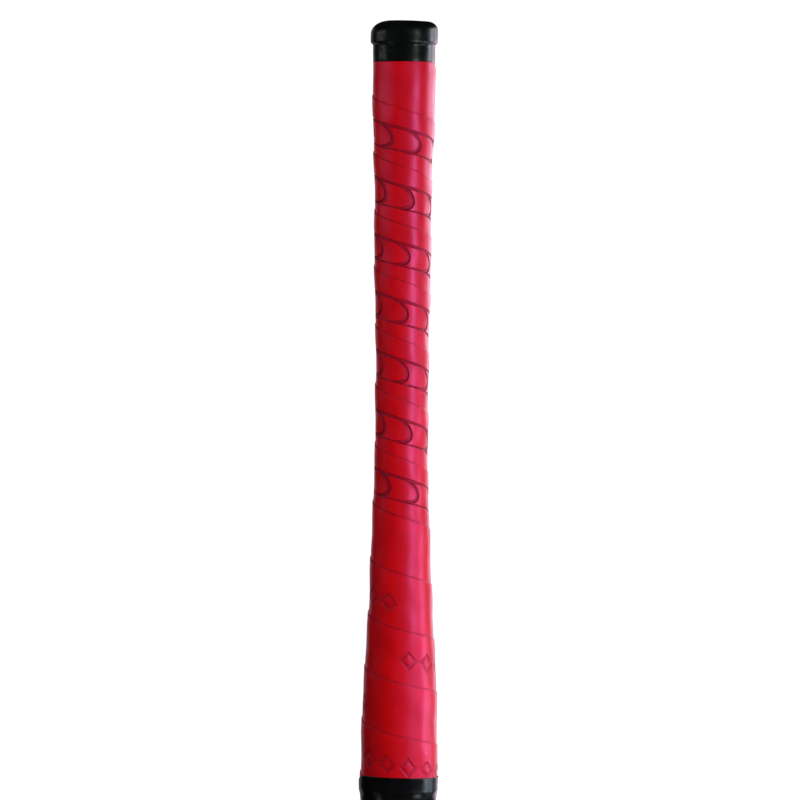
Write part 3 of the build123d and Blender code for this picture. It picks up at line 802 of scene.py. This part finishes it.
def make_world():
    """White to the camera, dark in reflections, and a dim even fill for everything else."""
    world = bpy.data.worlds.new("studio")
    bpy.context.scene.world = world
    world.use_nodes = True
    nodes, links = world.node_tree.nodes, world.node_tree.links
    ray = nodes.new("ShaderNodeLightPath")
    shader = nodes["Background"]
    shader.inputs["Color"].default_value = (1, 1, 1, 1)
    shader.inputs["Strength"].default_value = FILL
    for test, strength in (("Is Glossy Ray", REFLECTED), ("Is Camera Ray", BACKGROUND)):
        other = nodes.new("ShaderNodeBackground")
        other.inputs["Strength"].default_value = strength
        other.inputs["Color"].default_value = (1, 1, 1, 1)
        mix = nodes.new("ShaderNodeMixShader")
        links.new(ray.outputs[test], mix.inputs["Fac"])
        links.new(shader.outputs[0], mix.inputs[1])
        links.new(other.outputs[0], mix.inputs[2])
        shader = mix
    links.new(shader.outputs[0], nodes["World Output"].inputs["Surface"])


def soft_box(name, bearing, distance, size, power, centre, lean=0, color=(1, 1, 1), wash=False):
    """A rectangular light that faces the stick from a bearing, in degrees right of the front.

    distance is from the stick, size its width and height, power in watts, and centre its height
    above the floor. lean, in degrees, turns its top to the left as seen from behind it. A wash
    lights the colours and has no highlight; any other box is only seen as a highlight.
    """
    light = bpy.data.lights.new(name, "AREA")
    light.shape = "RECTANGLE"
    light.size, light.size_y = size
    light.energy = power
    light.color = color
    lamp = bpy.data.objects.new(name, light)
    bpy.context.scene.collection.objects.link(lamp)
    angle = math.radians(bearing)
    lamp.location = Vector((distance * math.sin(angle), -distance * math.cos(angle), centre))
    outward = Vector((math.sin(angle), -math.cos(angle), 0))
    lamp.rotation_mode = "QUATERNION"
    lamp.rotation_quaternion = outward.to_track_quat("Z", "Y") @ Quaternion(
        (0, 0, 1), math.radians(lean))
    lamp.visible_camera = False
    lamp.visible_glossy = not wash
    lamp.visible_diffuse = wash
    lamp.light_linking.receiver_collection = LEFT_OUT


def make_overhead():
    """Even soft light straight down, most of all for the floor."""
    light = bpy.data.lights.new("overhead", "SUN")
    light.energy = OVERHEAD
    light.angle = OVERHEAD_SPREAD
    lamp = bpy.data.objects.new("overhead", light)
    bpy.context.scene.collection.objects.link(lamp)
    lamp.location = Vector((0, 0, 3))
    lamp.visible_glossy = False


def make_camera():
    """A long lens at the photograph's viewing angle."""
    data = bpy.data.cameras.new("camera")
    data.sensor_width = SENSOR
    data.lens = data.sensor_width * CAMERA_DISTANCE / FRAME_SIDE
    data.clip_end = 100
    camera = bpy.data.objects.new("camera", data)
    bpy.context.scene.collection.objects.link(camera)
    back = Vector((0, -math.cos(CAMERA_RISE), math.sin(CAMERA_RISE)))
    camera.location = CAMERA_CENTRE + back * CAMERA_DISTANCE
    turned = back.to_track_quat("Z", "Y") @ Quaternion((0, 0, 1), CAMERA_ROLL)
    camera.rotation_euler = turned.to_euler()
    bpy.context.scene.camera = camera


make_floor()
make_world()
make_overhead()
# Highlights: a band that moves to the right lower down, a broad bright edge on the right, brought
# round to the front at the cap, and fainter ones on the left.
soft_box("band_upper", 45, 0.5, (0.09, 0.22), 1.0, 0.72)
soft_box("band_lower", 84, 0.5, (0.09, 0.26), 0.76, 0.52, color=COOL)
soft_box("sweep", 82, 0.5, (0.14, 0.6), 1.3, 0.53, lean=70, color=COOL)
soft_box("edge_top", 108, 0.5, (0.12, 0.15), 0.62, 0.845, color=(0.85, 0.9, 1.0))
soft_box("edge_right", 132, 0.6, (0.45, 0.34), 1.6, 0.82, color=(0.92, 0.78, 0.93))
soft_box("rim_right", 146, 0.6, (0.3, 0.6), 1.4, 0.55, color=PINK)
soft_box("edge_left", -95, 1.5, (0.5, 0.35), 1.25, 1.05)
soft_box("faint_left", -78, 1.0, (0.12, 0.3), 0.6, 1.0)
soft_box("rim_left", -150, 0.7, (0.25, 0.8), 0.25, 0.66)
# Highlights for other views: along the barrel's front, and along the back.
soft_box("barrel_right", 62, 0.6, (0.1, 0.3), 1.0, 0.04)
soft_box("barrel_left", -70, 0.6, (0.16, 0.3), 0.7, 0.04)
soft_box("barrel_back", 168, 0.7, (0.12, 0.5), 2.2, 0.2)
# Washes, the last two for the side and the back.
soft_box("wash_right", 45, 0.7, (0.5, 0.6), 4.9, 0.5, wash=True)
soft_box("wash_left", -60, 0.6, (0.3, 0.3), 1.4, 0.95, wash=True)
soft_box("wash_front", 0, 0.8, (0.5, 0.8), 1.2, 0.68, wash=True)
soft_box("wash_side", 110, 0.8, (0.5, 0.8), 2.8, 0.62, wash=True)
soft_box("wash_back", -165, 0.8, (0.4, 0.8), 3.0, 0.66, wash=True)
make_camera()
bpy.context.scene.view_settings.view_transform = "Standard"
